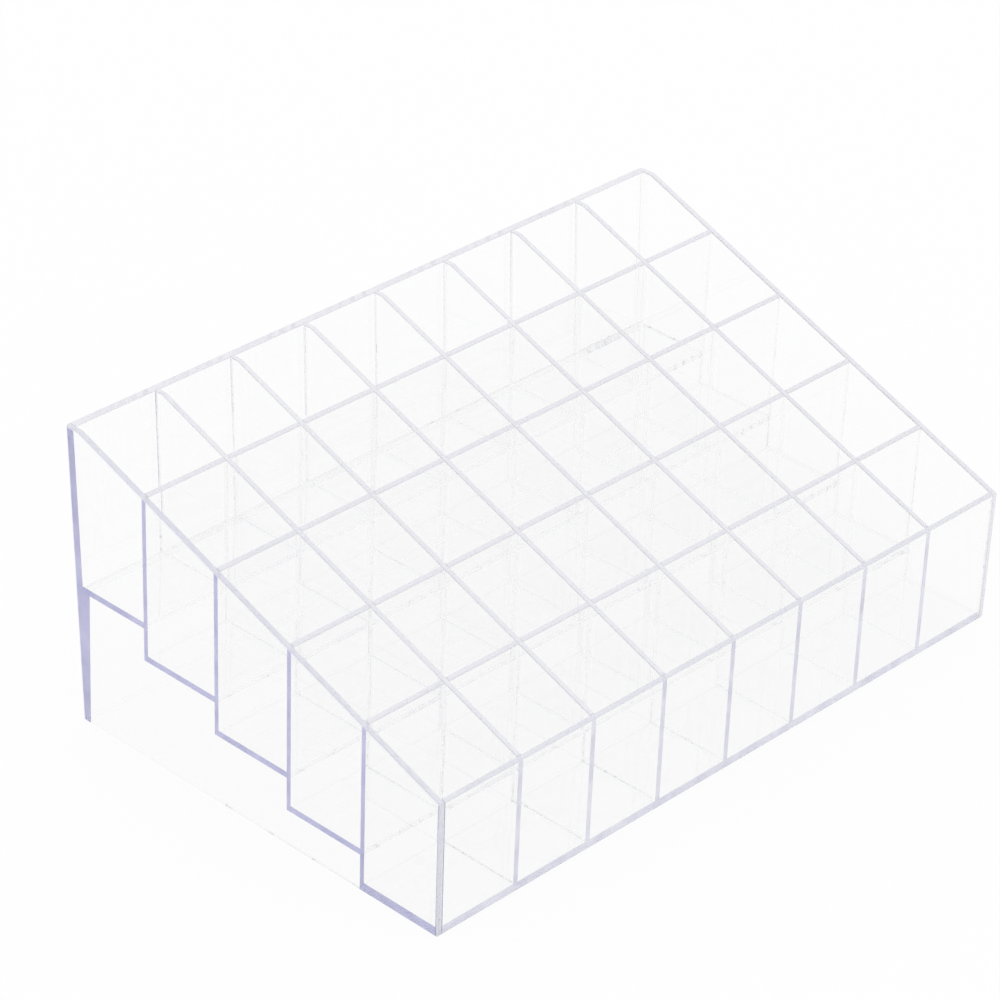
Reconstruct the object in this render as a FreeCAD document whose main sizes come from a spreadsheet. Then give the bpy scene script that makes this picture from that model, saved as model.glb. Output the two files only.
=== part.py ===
import FreeCAD, Part
import os

import Sketcher

# Stepped vanity organizer of clear panels, in millimetres.
# Frame: X runs across the width, Y from the front (negative) to the rear, Z up.
# The origin is the middle of the overall width and depth, on the surface that the organizer stands on.
# Rows are numbered from the rear to the front, columns from left to right.
COLUMNS = 8
ROWS = 5

SIZES = [
    ("cell_width", 24.4, "clear width of an inner cell"),
    ("end_cell_width", 25.4, "clear width of a cell beside a side panel, at the base"),
    ("cell_depth", 24.7, "clear depth of a cell, front to rear"),
    ("rear_cell_depth", 23.1, "clear depth of a cell of the rear row, at its floor"),
    ("front_height", 39.0, "height of the rim at the front face"),
    ("back_height", 86.6, "height of the back panel and of the flat stretch of the rim"),
    ("rim_flat", 2.8, "depth of the flat stretch of the rim, in front of the back panel"),
    ("step_rise", 9.65, "rise from one floor to the next"),
    ("side_panel_thickness", 1.8, "thickness of a side panel"),
    ("front_panel_thickness", 1.4, "thickness of the front panel"),
    ("back_panel_thickness", 2.4, "thickness of the back panel above the rear floor"),
    ("back_foot_thickness", 2.4, "thickness of the back panel at its foot"),
    ("back_ledge_depth", 2.5, "depth of the ledge that carries the rear floor"),
    ("row_divider_thickness", 1.4, "thickness of a row divider"),
    ("column_divider_thickness", 1.6, "thickness of a column divider"),
    ("floor_thickness", 1.8, "thickness of a cell floor"),
    ("side_lean", 1.0, "how far the top of a side panel stands outside its foot"),
    ("back_lean", 3.9, "how far the top of the back panel stands behind its foot"),
    ("rear_corner_radius", 1.4, "rounding of the upright rear corners"),
    ("bond_gap", 0.1, "clearance at every bonded or slotted joint"),
    ("overrun", 5.0, "how far a cut runs past the panel that it cuts"),
]

# A halved joint meets at this share of the height from the floor to the rim.
LAP_SHARE = 0.5

# Places across the width.
COLUMN_PITCH = "(sizes.cell_width + sizes.column_divider_thickness)"
LAST_COLUMN = f"({COLUMNS - 2} * {COLUMN_PITCH} / 2)"
HALF_BASE = f"({LAST_COLUMN} + sizes.column_divider_thickness / 2 + sizes.end_cell_width)"
SIDE_SLOPE = "(sizes.side_lean / sizes.back_height)"

# Places from the front to the rear.
ROW_PITCH = "(sizes.cell_depth + sizes.row_divider_thickness)"
BACK_SLOPE = "(sizes.back_lean / sizes.back_height)"
REAR_FLOOR = f"({ROWS - 1} * sizes.step_rise)"
REAR_CELL = f"(sizes.front_panel_thickness + {ROWS - 1} * {ROW_PITCH})"
BACK_OVERHANG = f"({BACK_SLOPE} * (sizes.back_height - {REAR_FLOOR}))"
DEPTH = f"({REAR_CELL} + sizes.rear_cell_depth + sizes.back_panel_thickness + {BACK_OVERHANG})"
FRONT_FACE = f"(-{DEPTH} / 2)"
FRONT_INNER = f"({FRONT_FACE} + sizes.front_panel_thickness)"
REAR_FACE = f"({DEPTH} / 2)"

# The rim climbs evenly from the front face to a flat stretch before the back panel.
RIM_FLAT = f"({FRONT_FACE} + {REAR_CELL} + sizes.rear_cell_depth + {BACK_OVERHANG} - sizes.rim_flat)"
RIM_SLOPE = f"((sizes.back_height - sizes.front_height) / ({RIM_FLAT} - {FRONT_FACE}))"


def half_width(z):
    """Inner face of a side panel at height z, from the middle."""
    return f"({HALF_BASE} + {SIDE_SLOPE} * ({z}))"


def back_inner(z):
    """Inner face of the back panel at height z, above the ledge."""
    return f"({FRONT_FACE} + {REAR_CELL} + sizes.rear_cell_depth + {BACK_SLOPE} * (({z}) - {REAR_FLOOR}))"


def back_outer(z):
    """Outer face of the back panel at height z."""
    return f"({back_inner(z)} + sizes.back_panel_thickness)"


def rim(y):
    """Height of the slanted rim at depth y."""
    return f"(sizes.front_height + {RIM_SLOPE} * (({y}) - {FRONT_FACE}))"


def floor_bottom(row):
    """Underside of a row's floor."""
    return f"({ROWS - row} * sizes.step_rise)"


def floor_top(row):
    """Upper face of a row's floor."""
    return f"({floor_bottom(row)} + sizes.floor_thickness)"


def divider_rear(row):
    """Rear face of the divider in front of a row, or of the front panel for the front row."""
    return f"({FRONT_INNER} + {ROWS - row} * {ROW_PITCH})"


def divider_front(row):
    """Front face of the divider in front of a row."""
    return f"({divider_rear(row)} - sizes.row_divider_thickness)"


def lap_height(row):
    """Height at which the halved joints of the divider in front of a row meet."""
    return f"({floor_top(row)} + {LAP_SHARE} * ({rim(divider_front(row))} - {floor_top(row)}))"


def less_gap(place):
    """A place drawn back by the joint clearance."""
    return f"({place} - sizes.bond_gap)"


def plus_gap(place):
    """A place moved on by the joint clearance."""
    return f"({place} + sizes.bond_gap)"


doc = FreeCAD.newDocument("vanity_organizer")
sheet = doc.addObject("Spreadsheet::Sheet", "sizes")
for line, (alias, size, meaning) in enumerate(SIZES, start=1):
    sheet.set(f"A{line}", meaning)
    sheet.set(f"B{line}", str(size))
    sheet.setAlias(f"B{line}", alias)
doc.recompute()

bodies = []


def new_body(label):
    """A sub-part under its own label."""
    body = doc.addObject("PartDesign::Body", label)
    body.Label = label
    bodies.append(body)
    return body


def origin_feature(body, role):
    """One of the body's own origin planes or axes."""
    return next(item for item in body.Origin.OriginFeatures if item.Role == role)


def new_sketch(body, name, plane, outlines):
    """Sketch of closed outlines, each a list of points whose places are formulas."""
    sketch = body.newObject("Sketcher::SketchObject", name)
    sketch.AttachmentSupport = [(origin_feature(body, plane), "")]
    sketch.MapMode = "FlatFace"
    for outline in outlines:
        add_outline(sketch, outline)
    return sketch


def add_outline(sketch, outline):
    """Closed outline of straight lines, each corner held by its two places."""
    corners = [FreeCAD.Vector(sheet.evalExpression(u), sheet.evalExpression(v), 0) for u, v in outline]
    first = sketch.GeometryCount
    for start, end in zip(corners, corners[1:] + corners[:1]):
        sketch.addGeometry(Part.LineSegment(start, end), False)
    for number, (place, corner) in enumerate(zip(outline, corners)):
        line = first + number
        line_before = first + (number - 1) % len(outline)
        sketch.addConstraint(Sketcher.Constraint("Coincident", line_before, 2, line, 1))
        for direction, formula, value in zip(("DistanceX", "DistanceY"), place, corner):
            held = sketch.addConstraint(Sketcher.Constraint(direction, -1, 1, line, 1, value))
            sketch.setExpression(f"Constraints[{held}]", formula)


def pad(body, name, sketch, length):
    """Panel of the sketch's outline, as thick on both sides of its plane."""
    feature = body.newObject("PartDesign::Pad", name)
    feature.Profile = sketch
    feature.SideType = "Symmetric"
    feature.setExpression("Length", length)
    return feature


def pocket(body, name, sketch):
    """Cut right through the body on both sides of the sketch's plane."""
    feature = body.newObject("PartDesign::Pocket", name)
    feature.Profile = sketch
    feature.Type = "ThroughAll"
    feature.SideType = "Symmetric"
    return feature


def cross_panel(label, section):
    """Panel across the width: its section is drawn from the side, and its ends follow the leaning side panels."""
    body = new_body(label)
    profile = new_sketch(body, f"{label}_section", "YZ_Plane", [section])
    widest = half_width("sizes.back_height")
    pad(body, f"{label}_pad", profile, f"2 * ({widest} + sizes.overrun)")
    below = "-sizes.overrun"
    above = "sizes.back_height + sizes.overrun"
    outside = f"({widest} + 2 * sizes.overrun)"
    ends = []
    for hand in ("-1", "1"):
        ends.append([
            (f"{hand} * {less_gap(half_width(below))}", below),
            (f"{hand} * {outside}", below),
            (f"{hand} * {outside}", above),
            (f"{hand} * {less_gap(half_width(above))}", above),
        ])
    trim = new_sketch(body, f"{label}_ends", "XZ_Plane", ends)
    pocket(body, f"{label}_end_cut", trim)
    return body


def side_panel(label, hand):
    """Leaning side panel with the slanted rim, the leaning rear edge and a rounded rear corner."""
    body = new_body(label)
    inner_foot = half_width("0")
    inner_top = half_width("sizes.back_height")
    section = [
        (f"{hand} * {inner_foot}", "0"),
        (f"{hand} * ({inner_foot} + sizes.side_panel_thickness)", "0"),
        (f"{hand} * ({inner_top} + sizes.side_panel_thickness)", "sizes.back_height"),
        (f"{hand} * {inner_top}", "sizes.back_height"),
    ]
    profile = new_sketch(body, f"{label}_section", "XZ_Plane", [section])
    pad(body, f"{label}_pad", profile, DEPTH)

    before = f"({FRONT_FACE} - sizes.overrun)"
    behind = f"({REAR_FACE} + sizes.overrun)"
    below = "-sizes.overrun"
    above = "(sizes.back_height + sizes.overrun)"
    over_rim = [(before, rim(before)), (RIM_FLAT, "sizes.back_height"), (RIM_FLAT, above), (before, above)]
    past_back = [(back_outer(below), below), (behind, below), (behind, above), (back_outer(above), above)]
    trim = new_sketch(body, f"{label}_outline", "YZ_Plane", [over_rim, past_back])
    cut = pocket(body, f"{label}_cut", trim)
    doc.recompute()

    middle = "sizes.back_height / 2"
    corner = FreeCAD.Vector(
        sheet.evalExpression(f"{hand} * ({half_width(middle)} + sizes.side_panel_thickness)"),
        sheet.evalExpression(back_outer(middle)),
        sheet.evalExpression(middle),
    )
    distances = [edge.CenterOfMass.distanceToPoint(corner) for edge in cut.Shape.Edges]
    rounding = body.newObject("PartDesign::Fillet", f"{label}_corner")
    rounding.Base = (cut, [f"Edge{distances.index(min(distances)) + 1}"])
    rounding.setExpression("Radius", "sizes.rear_corner_radius")


def back_panel():
    """Leaning back panel, whose thicker lower part ends in the ledge under the rear floor."""
    ledge = less_gap(REAR_FLOOR)
    cross_panel("back_panel", [
        (f"({back_outer('0')} - sizes.back_foot_thickness)", "0"),
        (back_outer("0"), "0"),
        (back_outer("sizes.back_height"), "sizes.back_height"),
        (back_inner("sizes.back_height"), "sizes.back_height"),
        (back_inner(ledge), ledge),
        (f"({back_inner(ledge)} - sizes.back_ledge_depth)", ledge),
    ])


def front_panel():
    """Low front panel, its top cut to the slanted rim."""
    cross_panel("front_panel", [
        (FRONT_FACE, "0"),
        (FRONT_INNER, "0"),
        (FRONT_INNER, rim(FRONT_INNER)),
        (FRONT_FACE, rim(FRONT_FACE)),
    ])


def cell_floor(row):
    """Floor of one row, between the dividers before and behind it."""
    front = plus_gap(divider_rear(row))
    rear = less_gap(back_inner(floor_bottom(row)) if row == 1 else divider_front(row - 1))
    cross_panel(f"floor_{row}", [
        (front, floor_bottom(row)),
        (rear, floor_bottom(row)),
        (rear, floor_top(row)),
        (front, floor_top(row)),
    ])


def row_divider(row):
    """Divider in front of a row: the riser between two floors, slotted from the rim for the column dividers."""
    label = f"row_divider_{row}"
    front = divider_front(row)
    rear = divider_rear(row)
    body = cross_panel(label, [
        (front, floor_bottom(row + 1)),
        (rear, floor_bottom(row + 1)),
        (rear, rim(rear)),
        (front, rim(front)),
    ])
    half_slot = "(sizes.column_divider_thickness / 2 + sizes.bond_gap)"
    slot_top = f"({rim(rear)} + sizes.overrun)"
    slot = [
        (f"(-{LAST_COLUMN} - {half_slot})", lap_height(row)),
        (f"(-{LAST_COLUMN} + {half_slot})", lap_height(row)),
        (f"(-{LAST_COLUMN} + {half_slot})", slot_top),
        (f"(-{LAST_COLUMN} - {half_slot})", slot_top),
    ]
    slot_sketch = new_sketch(body, f"{label}_slot", "XZ_Plane", [slot])
    first_slot = pocket(body, f"{label}_slot_cut", slot_sketch)
    doc.recompute()
    slots = body.newObject("PartDesign::LinearPattern", f"{label}_slots")
    slots.Originals = [first_slot]
    slots.Direction = (origin_feature(body, "X_Axis"), [""])
    slots.setExpression("Length", f"2 * {LAST_COLUMN}")
    slots.Occurrences = COLUMNS - 1
    body.Tip = slots


def column_divider(column):
    """Divider to the right of a column: stepped on the floors, slotted from below over the row dividers."""
    label = f"column_divider_{column}"
    outline = []
    for row in range(ROWS, 0, -1):
        seat = plus_gap(floor_top(row))
        front = plus_gap(divider_rear(row))
        if row < ROWS:
            outline.append((front, plus_gap(lap_height(row))))
        outline.append((front, seat))
        if row > 1:
            rear = less_gap(divider_front(row - 1))
            outline.append((rear, seat))
            outline.append((rear, plus_gap(lap_height(row - 1))))
        else:
            outline.append((less_gap(back_inner(seat)), seat))
    outline.append((less_gap(back_inner("sizes.back_height")), "sizes.back_height"))
    outline.append((RIM_FLAT, "sizes.back_height"))
    front = plus_gap(FRONT_INNER)
    outline.append((front, rim(front)))

    body = new_body(label)
    profile = new_sketch(body, f"{label}_outline", "YZ_Plane", [outline])
    pad(body, f"{label}_pad", profile, "sizes.column_divider_thickness")
    body.setExpression("Placement.Base.x", f"{column} * {COLUMN_PITCH} - {COLUMNS} * {COLUMN_PITCH} / 2")


side_panel("left_side_panel", "-1")
side_panel("right_side_panel", "1")
back_panel()
front_panel()
for row in range(1, ROWS + 1):
    cell_floor(row)
for row in range(1, ROWS):
    row_divider(row)
for column in range(1, COLUMNS):
    column_divider(column)
doc.recompute()

# Nothing is written unless every feature is sound and every cut has taken material away.
for item in doc.Objects:
    if "Invalid" in item.State or "Error" in item.State:
        raise RuntimeError(f"{item.Label} failed")
    if item.isDerivedFrom("PartDesign::Pocket") and item.Shape.Volume >= item.BaseFeature.Shape.Volume:
        raise RuntimeError(f"{item.Label} cuts nothing")
for body in bodies:
    if body.Shape.isNull() or not body.Shape.isValid() or len(body.Shape.Solids) != 1:
        raise RuntimeError(f"{body.Label} is not one sound solid")

os.makedirs("parts", exist_ok=True)
for body in bodies:
    body.Shape.exportStep(f"parts/{body.Label}.step")
    box = body.Shape.BoundBox
    print(f"{body.Label}: {box.XLength:.2f} x {box.YLength:.2f} x {box.ZLength:.2f} mm, {body.Shape.Volume:.0f} mm3")
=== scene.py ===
import math

import bmesh
import bpy
from bpy.props import FloatProperty, FloatVectorProperty, PointerProperty
from mathutils import Matrix, Vector


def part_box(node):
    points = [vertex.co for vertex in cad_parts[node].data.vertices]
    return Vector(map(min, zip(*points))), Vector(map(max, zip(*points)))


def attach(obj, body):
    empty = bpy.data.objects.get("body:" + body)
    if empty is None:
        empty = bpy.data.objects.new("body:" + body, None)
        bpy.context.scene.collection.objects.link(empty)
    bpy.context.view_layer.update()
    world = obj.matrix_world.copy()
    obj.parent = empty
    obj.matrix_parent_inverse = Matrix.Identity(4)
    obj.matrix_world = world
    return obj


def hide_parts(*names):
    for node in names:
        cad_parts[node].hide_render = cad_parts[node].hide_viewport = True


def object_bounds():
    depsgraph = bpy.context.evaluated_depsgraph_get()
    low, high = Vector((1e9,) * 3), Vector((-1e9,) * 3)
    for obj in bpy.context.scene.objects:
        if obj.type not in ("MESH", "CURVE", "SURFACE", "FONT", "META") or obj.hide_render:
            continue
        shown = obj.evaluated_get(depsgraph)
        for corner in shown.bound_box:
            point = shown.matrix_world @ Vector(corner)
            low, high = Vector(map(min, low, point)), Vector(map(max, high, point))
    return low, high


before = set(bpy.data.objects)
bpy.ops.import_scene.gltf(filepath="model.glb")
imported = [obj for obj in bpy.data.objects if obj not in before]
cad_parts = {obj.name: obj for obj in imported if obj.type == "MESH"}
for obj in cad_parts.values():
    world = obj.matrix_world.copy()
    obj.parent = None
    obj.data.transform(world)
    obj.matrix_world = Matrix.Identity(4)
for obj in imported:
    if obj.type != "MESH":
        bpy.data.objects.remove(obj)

bl_info = {
    "name": "Vanity Organizer",
    "version": (1, 0, 0),
    "blender": (4, 5, 0),
    "location": "View3D > Sidebar > Organizer",
    "description": "Finishes the clear panels of a stepped vanity organizer and sets its stage",
    "category": "Object",
}

MM = 0.001
CAD_LOW, CAD_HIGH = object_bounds()
BODY = "root"

# Material slots of a panel, after the first, which holds its clear faces.
# The second seam slot holds the left joints' film, painted a deeper lavender as painted shade on the side
# away from the light.
SEAM, LEFT_SEAM_PAINTED_SHADE, RIM = 1, 2, 3

# Corners closer than WELDED are one corner, and a face or edge within NEAR of a place counts as there.
WELDED = 0.001 * MM
NEAR = 1.0 * MM

# A face looks along an axis where its normal's share of it is over STEEP, and leans that way over SLANT.
STEEP = 0.7
SLANT = 0.2

# Faces that turn by more than SHARP meet in an arris, and those that turn by less than FLAT are one face.
SHARP = math.radians(30)
FLAT = math.radians(0.5)
ARRIS_STEPS = 3

# A joint at a side or back panel lies past this share of the way from the middle to the outside.
END_SHARE = 0.9

# Noise stays near its middle, so this stretch of it is spread over the whole range of a pattern.
NOISE_LOW, NOISE_HIGH = 0.35, 0.65
WAVE_DETAIL, GRAIN_DETAIL, FILM_DETAIL = 1.0, 2.0, 3.0

# A clear surface: no haze, nothing held back and no tint.
POLISHED = 0.0
ALL_CLEAR = 1.0
UNTINTED = "#FFFFFF"

# The studio turns from its sides' light to that from above between these heights of a direction.
CLIMB_START, CLIMB_END = 0.1, 0.9

# Light is led a long way inside the panels before it leaves them at a rim.
GUIDED_BOUNCES = 256
SCATTERED_BOUNCES = 32


def nodes_named(start):
    """The frame's nodes whose names start alike, in order."""
    return sorted(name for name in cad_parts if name.startswith(start))


def front_height():
    """Height of the front panel at its outer face, where the rim starts."""
    corners = [vertex.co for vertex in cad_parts["front_panel"].data.vertices]
    front = min(corner.y for corner in corners)
    return max(corner.z for corner in corners if corner.y < front + WELDED)


SIDE_PANELS = ("left_side_panel", "right_side_panel")
FLOORS = nodes_named("floor_")
ROW_DIVIDERS = nodes_named("row_divider_")
COLUMN_DIVIDERS = nodes_named("column_divider_")

# The rim climbs evenly from the front face and runs level at the back.
FRONT_FACE, FRONT_INNER = (corner.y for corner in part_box("front_panel"))
FRONT_HEIGHT = front_height()
BACK_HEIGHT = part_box("back_panel")[1].z
RIM_SLOPE = (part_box("front_panel")[1].z - FRONT_HEIGHT) / (FRONT_INNER - FRONT_FACE)


def linear(hex_colour):
    """Linear RGBA of an sRGB hex colour."""
    parts = [int(hex_colour[i:i + 2], 16) / 255 for i in (1, 3, 5)]
    return tuple(c / 12.92 if c <= 0.04045 else ((c + 0.055) / 1.055) ** 2.4 for c in parts) + (1.0,)


def colour(name, description, hex_colour):
    """A colour property."""
    return FloatVectorProperty(name=name, description=description, subtype="COLOR", size=4, min=0.0, max=1.0,
                               default=linear(hex_colour))


def length(name, description, millimetres):
    """A length property."""
    return FloatProperty(name=name, description=description, unit="LENGTH", precision=5,
                         default=millimetres * MM)


def angle(name, description, degrees):
    """An angle property."""
    return FloatProperty(name=name, description=description, subtype="ANGLE", default=math.radians(degrees))


def share(name, description, value):
    """A property between 0 and 1."""
    return FloatProperty(name=name, description=description, subtype="FACTOR", min=0.0, max=1.0,
                         default=value)


class PlasticSettings(bpy.types.PropertyGroup):
    """The clear plastic and its faces."""

    ior: FloatProperty(name="IOR", description="Refractive index of acrylic", default=1.49, min=1.0, max=2.0)
    toner: colour("Toner", "Colour that a long way through the plastic takes on", "#B0B0D2")
    density: FloatProperty(name="Toner density", description="Absorption per metre", default=0.2, min=0.0)
    face: colour("Face", "Tint of a face that light passes", "#FEFEFE")
    ripple_size: length("Ripple size", "Distance between the soft waves of a moulded face", 14.0)
    ripple_height: length("Ripple height", "Height of those waves", 0.004)


class RimSettings(bpy.types.PropertyGroup):
    """Rims and edges."""

    tone: colour("Tone", "Colour that the satin rims scatter", "#F1F1F6")
    clear: share("Clear share", "How much of the light from outside goes into a rim", 0.3)
    smooth: share("Smooth", "Roughness of the smoother patches of a rim", 0.2)
    rough: share("Rough", "Roughness of the duller patches of a rim", 0.3)
    grain: length("Grain", "Size of those patches", 2.5)
    divider_arris: length("Divider arris", "Rounding of the rims of dividers, front and back panel", 0.25)
    side_arris: length("Side arris", "Rounding of a side panel's edges, except at its foot", 0.5)


class SeamSettings(bpy.types.PropertyGroup):
    """Bonded joints."""

    reach: length("Reach", "How far a bonded face is pushed on, to lie just inside its neighbour", 0.12)
    pale: colour("Pale film", "Lighter patches of the film at the front and the back", "#E4E4F6")
    deep: colour("Deep film", "Darker patches of the film at the front and the back", "#D0D0EC")
    # The left films are the bonded haze painted deeper, as painted shade on the side that falls away from
    # the light.
    left_pale: colour("Pale left film", "Lighter patches of the film at the left side panel", "#AEAEE6")
    left_deep: colour("Deep left film", "Darker patches of the film at the left side panel", "#9A9ADA")
    smooth: share("Smooth", "Roughness of the clearer patches of the film", 0.3)
    rough: share("Rough", "Roughness of the hazier patches of the film", 0.4)
    blotch: length("Blotch", "Size of the patches of the film", 7.0)


class StageSettings(bpy.types.PropertyGroup):
    """Camera, floor and light."""

    azimuth: angle("Azimuth", "Camera direction round the object", -47.24)
    elevation: angle("Elevation", "Camera height above the horizon", 31.07)
    roll: angle("Roll", "Turn of the camera about its own axis", 2.41)
    distance: length("Distance", "From the camera to its target", 1122.3)
    target: FloatVectorProperty(name="Target", description="Point in the middle of the picture",
                                subtype="XYZ", unit="LENGTH",
                                default=(-6.07 * MM, 10.92 * MM, 48.21 * MM))
    lens: FloatProperty(name="Lens", description="Focal length in millimetres", default=154.48)
    floor_size: length("Floor size", "Width and depth of the floor", 8000.0)
    floor_drop: length("Floor drop", "Clearance under the object", 0.2)
    floor: colour("Floor", "Colour of the floor's paper", "#FAFAFB")
    floor_glow: share("Floor glow", "How far the floor looks white, without its shadows", 0.95)
    horizon: colour("Horizon", "Studio light from the sides", "#FFFFFF")
    zenith: colour("Zenith", "Studio light from above", "#FAFAFC")


def add_node(tree, kind, sockets=None, **settings):
    """A node with its settings; a socket's value is a number, a colour or the output that feeds it."""
    made = tree.nodes.new(kind)
    for name, value in settings.items():
        setattr(made, name, value)
    for name, value in (sockets or {}).items():
        if isinstance(value, bpy.types.NodeSocket):
            tree.links.new(value, made.inputs[name])
        else:
            made.inputs[name].default_value = value
    return made


def empty_material(name):
    """A node material with no nodes yet."""
    material = bpy.data.materials.new(name)
    material.use_nodes = True
    material.node_tree.nodes.clear()
    return material


def patches(tree, size, detail, low=0.0, high=1.0):
    """Soft patches of a real size, as a value that runs from low to high."""
    place = add_node(tree, "ShaderNodeTexCoord").outputs["Object"]
    noise = add_node(tree, "ShaderNodeTexNoise", {"Vector": place, "Scale": 1 / size, "Detail": detail})
    return add_node(tree, "ShaderNodeMapRange", {
        "Value": noise.outputs["Fac"], "From Min": NOISE_LOW, "From Max": NOISE_HIGH,
        "To Min": low, "To Max": high,
    }).outputs["Result"]


def from_outside(tree, kind, outside, inside):
    """A value for light that meets a face from outside, and another for light that leaves through it."""
    back = add_node(tree, "ShaderNodeNewGeometry").outputs["Backfacing"]
    by_side = add_node(tree, "ShaderNodeMix", {"Factor": back, "A": outside, "B": inside}, data_type=kind)
    return by_side.outputs["Result"]


def fill_with_acrylic(tree, plastic, skin):
    """Ends a tree in acrylic: skin holds what its surface shows, and a trace of toner fills it."""
    surface = add_node(tree, "ShaderNodeBsdfPrincipled", {"IOR": plastic.ior, **skin})
    toner = add_node(tree, "ShaderNodeVolumeAbsorption", {
        "Color": plastic.toner, "Density": plastic.density,
    })
    add_node(tree, "ShaderNodeOutputMaterial", {
        "Surface": surface.outputs["BSDF"], "Volume": toner.outputs["Volume"],
    })


def clear_acrylic(scene):
    """Clear acrylic, moulded against a polished tool: faces all but vanish, with slow waves in the gloss."""
    plastic = scene.organizer_plastic
    material = empty_material("clear_acrylic")
    tree = material.node_tree
    waves = patches(tree, plastic.ripple_size, WAVE_DETAIL)
    bump = add_node(tree, "ShaderNodeBump", {
        "Height": waves, "Strength": 1.0, "Distance": plastic.ripple_height,
    })
    fill_with_acrylic(tree, plastic, {
        "Base Color": plastic.face, "Roughness": POLISHED, "Transmission Weight": ALL_CLEAR,
        "Normal": bump.outputs["Normal"],
    })
    return material


def bonded_film(scene, name, pale, deep):
    """Solvent-bonded acrylic: joints keep a thin uneven haze, so a panel's end is a lavender band."""
    plastic, seam = scene.organizer_plastic, scene.organizer_seam
    material = empty_material(name)
    tree = material.node_tree
    blotch = patches(tree, seam.blotch, FILM_DETAIL)
    film = add_node(tree, "ShaderNodeMix", {"Factor": blotch, "A": pale, "B": deep}, data_type="RGBA")
    haze = patches(tree, seam.blotch, FILM_DETAIL, seam.smooth, seam.rough)
    fill_with_acrylic(tree, plastic, {
        "Base Color": from_outside(tree, "RGBA", film.outputs["Result"], linear(UNTINTED)),
        "Roughness": from_outside(tree, "FLOAT", haze, POLISHED),
        "Transmission Weight": ALL_CLEAR,
    })
    return material


def bonded_seam(scene):
    """The film of a joint at the front or the back panel, thin and pale."""
    seam = scene.organizer_seam
    return bonded_film(scene, "bonded_seam", seam.pale, seam.deep)


def bonded_left_seam_painted_shade(scene):
    """The film of a joint at the left side panel, painted a deeper lavender: a dark bonded joint with
    painted shade for the side away from the light. Joints at the right one are clear.
    """
    seam = scene.organizer_seam
    return bonded_film(scene, "bonded_left_seam_painted_shade", seam.left_pale, seam.left_deep)


def satin_rim(scene):
    """Acrylic rims where the tool parts, a little satin: they scatter the light and read as even pale lines.

    Light from inside a panel leaves through them, so they have no dark images in the other panels.
    """
    plastic, rim = scene.organizer_plastic, scene.organizer_rim
    material = empty_material("satin_rim")
    tree = material.node_tree
    haze = patches(tree, rim.grain, GRAIN_DETAIL, rim.smooth, rim.rough)
    fill_with_acrylic(tree, plastic, {
        "Base Color": rim.tone, "Roughness": haze,
        "Transmission Weight": from_outside(tree, "FLOAT", rim.clear, ALL_CLEAR),
    })
    return material


def finishes(scene):
    """The finishes in the order of a panel's material slots, made on first use."""
    makers = (clear_acrylic, bonded_seam, bonded_left_seam_painted_shade, satin_rim)
    return [bpy.data.materials.get(maker.__name__) or maker(scene) for maker in makers]


def new_panel(scene, node):
    """A new piece with a node's shape: its loose triangles are merged, and each flat side is one face."""
    piece = bpy.data.objects.new("clear_" + node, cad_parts[node].data.copy())
    piece.data.materials.clear()
    for material in finishes(scene):
        piece.data.materials.append(material)
    scene.collection.objects.link(piece)
    bpy.ops.object.select_all(action="DESELECT")
    piece.select_set(True)
    bpy.context.view_layer.objects.active = piece
    bpy.ops.object.mode_set(mode="EDIT")
    bpy.ops.mesh.select_all(action="SELECT")
    bpy.ops.mesh.remove_doubles(threshold=WELDED)
    bpy.ops.mesh.dissolve_limited(angle_limit=FLAT)
    bpy.ops.object.mode_set(mode="OBJECT")
    return piece


def select(piece, kind, wanted):
    """Goes into edit mode and selects the wanted faces or edges of a piece."""
    bpy.ops.object.mode_set(mode="EDIT")
    bpy.ops.mesh.select_mode(type=kind)
    bpy.ops.mesh.select_all(action="DESELECT")
    mesh = bmesh.from_edit_mesh(piece.data)
    for part in mesh.faces if kind == "FACE" else mesh.edges:
        if wanted(part):
            part.select_set(True)
    bmesh.update_edit_mesh(piece.data)


def weld(piece, reach, joined):
    """Pushes the joined faces of a piece just into the panels that they are bonded to."""
    select(piece, "FACE", joined)
    bpy.ops.transform.shrink_fatten(value=reach, use_even_offset=True)
    bpy.ops.object.mode_set(mode="OBJECT")


def round_arrises(piece, radius, wanted):
    """Rounds the wanted sharp edges of a piece."""
    select(piece, "EDGE", lambda edge: is_sharp(edge) and wanted(edge))
    bpy.ops.mesh.bevel(offset=radius, segments=ARRIS_STEPS, affect="EDGES", clamp_overlap=True)
    bpy.ops.object.mode_set(mode="OBJECT")


def paint(piece, finish, wanted):
    """Gives the wanted faces of a piece another finish."""
    select(piece, "FACE", wanted)
    piece.active_material_index = finish
    bpy.ops.object.material_slot_assign()
    bpy.ops.object.mode_set(mode="OBJECT")


def hand_over(piece, node):
    """Fixes a piece to the organizer's body, in place of its node."""
    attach(piece, BODY)
    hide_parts(node)


def rim_height(y):
    """Height of the rim at depth y."""
    return min(FRONT_HEIGHT + RIM_SLOPE * (y - FRONT_FACE), BACK_HEIGHT)


def is_sharp(edge):
    """An edge between two faces that turn away from each other."""
    return len(edge.link_faces) == 2 and edge.calc_face_angle() > SHARP


def is_rim(face):
    """A face at the rim that looks up."""
    place = face.calc_center_median()
    return face.normal.z > SLANT and abs(place.z - rim_height(place.y)) < NEAR


def is_front_edge(face):
    """A face at the front of a side panel."""
    return face.normal.y < -SLANT


def leaves_foot(edge):
    """An edge that doesn't lie on the surface that the organizer stands on."""
    return max(corner.co.z for corner in edge.verts) > CAD_LOW.z + NEAR


def borders_rim(edge):
    """An edge of a rim's face."""
    return any(is_rim(face) for face in edge.link_faces)


def is_side_end(face):
    """A face that is bonded to a side panel."""
    return abs(face.normal.x) > STEEP and abs(face.calc_center_median().x) > END_SHARE * CAD_HIGH.x


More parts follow.
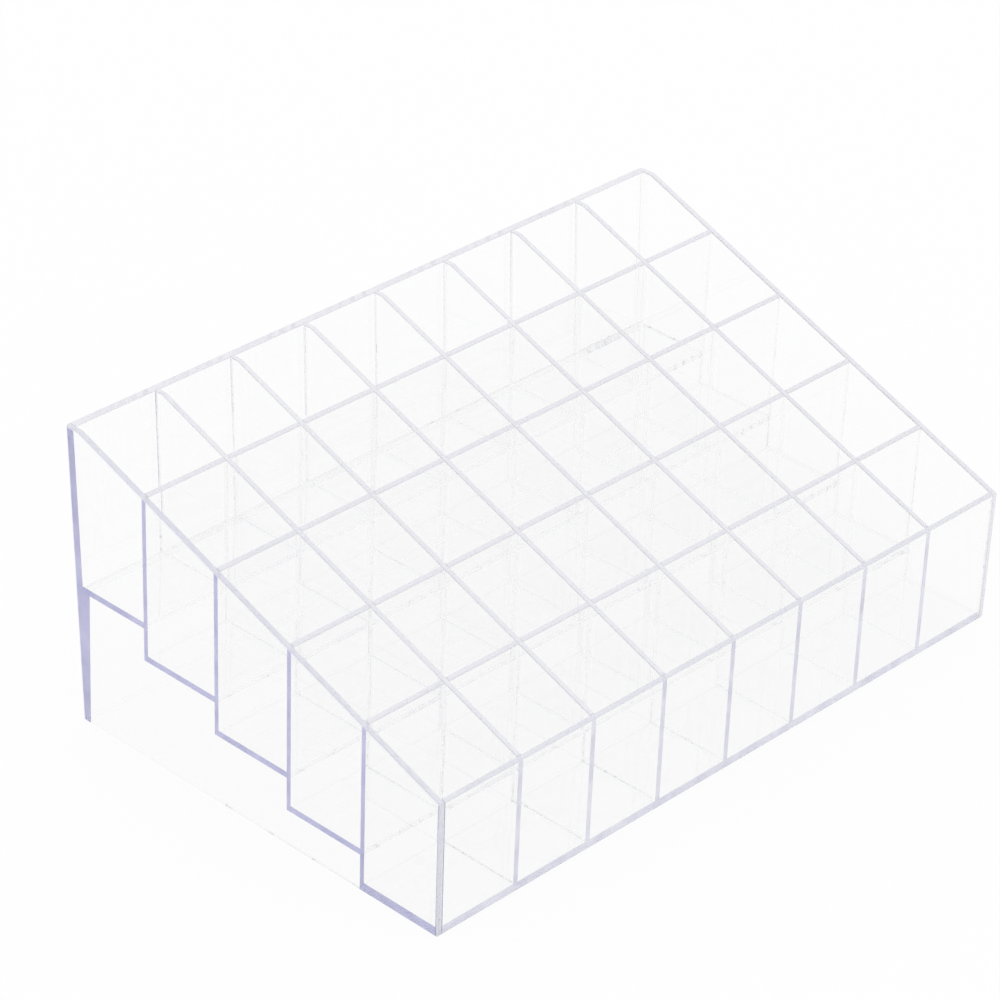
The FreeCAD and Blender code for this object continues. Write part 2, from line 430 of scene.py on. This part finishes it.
def is_left_end(face):
    """A face that is bonded to the left side panel."""
    return is_side_end(face) and face.normal.x < 0


def is_front_end(face):
    """A face that is bonded to the front panel."""
    return face.normal.y < -STEEP and face.calc_center_median().y < FRONT_INNER + NEAR


def is_back_end(face):
    """A face that is bonded to the back panel."""
    return face.normal.y > STEEP and face.calc_center_median().y > END_SHARE * CAD_HIGH.y


def is_ledge(face):
    """A level face below the rim: the back panel's ledge under the rear floor, or the bottom of a slot."""
    return face.normal.z > STEEP and not is_rim(face)


class ORGANIZER_OT_side_panels(bpy.types.Operator):
    """Finish the two side panels: round their edges and make their rims and front edges satin"""

    bl_idname = "organizer.side_panels"
    bl_label = "Side panels"

    def execute(self, context):
        scene = context.scene
        for node in SIDE_PANELS:
            piece = new_panel(scene, node)
            round_arrises(piece, scene.organizer_rim.side_arris, leaves_foot)
            paint(piece, RIM, lambda face: is_rim(face) or is_front_edge(face))
            hand_over(piece, node)
        return {"FINISHED"}


class ORGANIZER_OT_end_panels(bpy.types.Operator):
    """Finish the front and the back panel: bond their ends to the side panels and round their rims"""

    bl_idname = "organizer.end_panels"
    bl_label = "Front and back panels"

    def execute(self, context):
        scene = context.scene
        for node, film in (("front_panel", SEAM), ("back_panel", LEFT_SEAM_PAINTED_SHADE)):
            piece = new_panel(scene, node)
            weld(piece, scene.organizer_seam.reach, lambda face: is_side_end(face) or is_ledge(face))
            round_arrises(piece, scene.organizer_rim.divider_arris, borders_rim)
            # The back panel's left end takes the film painted deeper, as painted shade. The front panel's
            # left end takes the pale film.
            paint(piece, film, is_left_end)
            paint(piece, RIM, is_rim)
            hand_over(piece, node)
        return {"FINISHED"}


class ORGANIZER_OT_floors(bpy.types.Operator):
    """Finish the five cell floors: bond them to the panels and dividers around them"""

    bl_idname = "organizer.floors"
    bl_label = "Floors"

    def execute(self, context):
        scene = context.scene
        for node in FLOORS:
            piece = new_panel(scene, node)
            weld(piece, scene.organizer_seam.reach, lambda face: abs(face.normal.z) < STEEP)
            paint(piece, SEAM, is_front_end)
            # Left ends take the film painted deeper, as painted shade on the side away from the light.
            paint(piece, LEFT_SEAM_PAINTED_SHADE, is_left_end)
            hand_over(piece, node)
        return {"FINISHED"}


class ORGANIZER_OT_row_dividers(bpy.types.Operator):
    """Finish the four row dividers: bond their ends and slots and round their rims"""

    bl_idname = "organizer.row_dividers"
    bl_label = "Row dividers"

    def execute(self, context):
        scene = context.scene
        for node in ROW_DIVIDERS:
            piece = new_panel(scene, node)
            weld(piece, scene.organizer_seam.reach,
                 lambda face: abs(face.normal.x) > STEEP or is_ledge(face))
            round_arrises(piece, scene.organizer_rim.divider_arris, borders_rim)
            # Left ends take the film painted deeper, as painted shade on the side away from the light.
            paint(piece, LEFT_SEAM_PAINTED_SHADE, is_left_end)
            paint(piece, RIM, is_rim)
            hand_over(piece, node)
        return {"FINISHED"}


class ORGANIZER_OT_column_dividers(bpy.types.Operator):
    """Finish the seven column dividers: bond their ends, feet and slots and round their rims"""

    bl_idname = "organizer.column_dividers"
    bl_label = "Column dividers"

    def execute(self, context):
        scene = context.scene
        for node in COLUMN_DIVIDERS:
            piece = new_panel(scene, node)
            weld(piece, scene.organizer_seam.reach,
                 lambda face: abs(face.normal.x) < STEEP and not is_rim(face))
            round_arrises(piece, scene.organizer_rim.divider_arris, borders_rim)
            paint(piece, SEAM, lambda face: is_front_end(face) or is_back_end(face))
            paint(piece, RIM, is_rim)
            hand_over(piece, node)
        return {"FINISHED"}


def seen_directly(tree):
    """1 where the camera sees a surface straight, in a gloss or through plastic, and 0 for other light."""
    path = add_node(tree, "ShaderNodeLightPath").outputs
    gloss = add_node(tree, "ShaderNodeMath", {0: path["Is Camera Ray"], 1: path["Is Glossy Ray"]},
                     operation="MAXIMUM")
    clear = add_node(tree, "ShaderNodeMath", {0: gloss.outputs[0], 1: path["Is Transmission Ray"]},
                     operation="MAXIMUM")
    return clear.outputs[0]


def white_paper(settings):
    """Matt white paper: it looks white to the camera, also through the plastic, and keeps a faint shadow."""
    material = empty_material("white_paper")
    tree = material.node_tree
    glow = add_node(tree, "ShaderNodeMath", {0: seen_directly(tree), 1: settings.floor_glow},
                    operation="MULTIPLY")
    matt = add_node(tree, "ShaderNodeBsdfDiffuse", {"Color": settings.floor})
    white = add_node(tree, "ShaderNodeEmission", {"Color": settings.horizon, "Strength": 1.0})
    both = add_node(tree, "ShaderNodeMixShader", {
        0: glow.outputs[0], 1: matt.outputs[0], 2: white.outputs[0],
    })
    add_node(tree, "ShaderNodeOutputMaterial", {"Surface": both.outputs[0]})
    return material


def soft_studio(settings):
    """A world of even soft light, white all round and a little greyer overhead."""
    world = bpy.data.worlds.new("soft_studio")
    world.use_nodes = True
    tree = world.node_tree
    tree.nodes.clear()
    direction = add_node(tree, "ShaderNodeTexCoord").outputs["Generated"]
    height = add_node(tree, "ShaderNodeSeparateXYZ", {0: direction}).outputs["Z"]
    climb = add_node(tree, "ShaderNodeMapRange", {
        "Value": height, "From Min": CLIMB_START, "From Max": CLIMB_END, "To Min": 0.0, "To Max": 1.0,
    })
    studio = add_node(tree, "ShaderNodeMix", {
        "Factor": climb.outputs["Result"], "A": settings.horizon, "B": settings.zenith,
    }, data_type="RGBA")
    light = add_node(tree, "ShaderNodeBackground", {"Color": studio.outputs["Result"], "Strength": 1.0})
    add_node(tree, "ShaderNodeOutputWorld", {"Surface": light.outputs["Background"]})
    return world


def photo_camera(scene, settings):
    """A camera on a sphere round its target."""
    lens = bpy.data.cameras.new("photo_camera")
    lens.lens = settings.lens
    lens.clip_end = settings.floor_size
    camera = bpy.data.objects.new("photo_camera", lens)
    scene.collection.objects.link(camera)
    level = math.cos(settings.elevation)
    back = Vector((
        math.sin(settings.azimuth) * level,
        -math.cos(settings.azimuth) * level,
        math.sin(settings.elevation),
    ))
    look = (-back).to_track_quat("-Z", "Y").to_matrix().to_4x4()
    place = Matrix.Translation(Vector(settings.target) + back * settings.distance)
    camera.matrix_world = place @ look @ Matrix.Rotation(settings.roll, 4, "Z")
    return camera


class ORGANIZER_OT_stage(bpy.types.Operator):
    """Set the floor, the light and the camera"""

    bl_idname = "organizer.stage"
    bl_label = "Stage"

    def execute(self, context):
        scene = context.scene
        settings = scene.organizer_stage
        scene.view_settings.view_transform = "Standard"
        scene.cycles.max_bounces = GUIDED_BOUNCES
        scene.cycles.transmission_bounces = GUIDED_BOUNCES
        scene.cycles.glossy_bounces = GUIDED_BOUNCES
        scene.cycles.diffuse_bounces = SCATTERED_BOUNCES
        scene.cycles.transparent_max_bounces = SCATTERED_BOUNCES
        bpy.ops.object.select_all(action="DESELECT")
        bpy.ops.mesh.primitive_plane_add(size=settings.floor_size, location=(0, 0, -settings.floor_drop))
        floor = context.object
        floor.name = "studio_floor"
        floor.data.materials.append(white_paper(settings))
        scene.world = soft_studio(settings)
        scene.camera = photo_camera(scene, settings)
        return {"FINISHED"}


class ORGANIZER_PT_panel(bpy.types.Panel):
    """Settings and steps of the organizer"""

    bl_idname = "ORGANIZER_PT_panel"
    bl_label = "Vanity organizer"
    bl_space_type = "VIEW_3D"
    bl_region_type = "UI"
    bl_category = "Organizer"

    def draw(self, context):
        for group in SETTINGS:
            settings = getattr(context.scene, group)
            box = self.layout.box()
            for name in SETTINGS[group].__annotations__:
                box.prop(settings, name)
        for operator in OPERATORS:
            self.layout.operator(operator.bl_idname)


SETTINGS = {
    "organizer_plastic": PlasticSettings,
    "organizer_rim": RimSettings,
    "organizer_seam": SeamSettings,
    "organizer_stage": StageSettings,
}
OPERATORS = (
    ORGANIZER_OT_side_panels,
    ORGANIZER_OT_end_panels,
    ORGANIZER_OT_floors,
    ORGANIZER_OT_row_dividers,
    ORGANIZER_OT_column_dividers,
    ORGANIZER_OT_stage,
)
CLASSES = (*SETTINGS.values(), *OPERATORS, ORGANIZER_PT_panel)


def register():
    for item in CLASSES:
        bpy.utils.register_class(item)
    for group, settings in SETTINGS.items():
        setattr(bpy.types.Scene, group, PointerProperty(type=settings))


def unregister():
    for group in SETTINGS:
        delattr(bpy.types.Scene, group)
    for item in reversed(CLASSES):
        bpy.utils.unregister_class(item)


def build():
    """Runs the steps in order."""
    bpy.ops.organizer.side_panels()
    bpy.ops.organizer.end_panels()
    bpy.ops.organizer.floors()
    bpy.ops.organizer.row_dividers()
    bpy.ops.organizer.column_dividers()
    bpy.ops.organizer.stage()


def main():
    register()
    build()


if __name__ == "__main__":
    main()
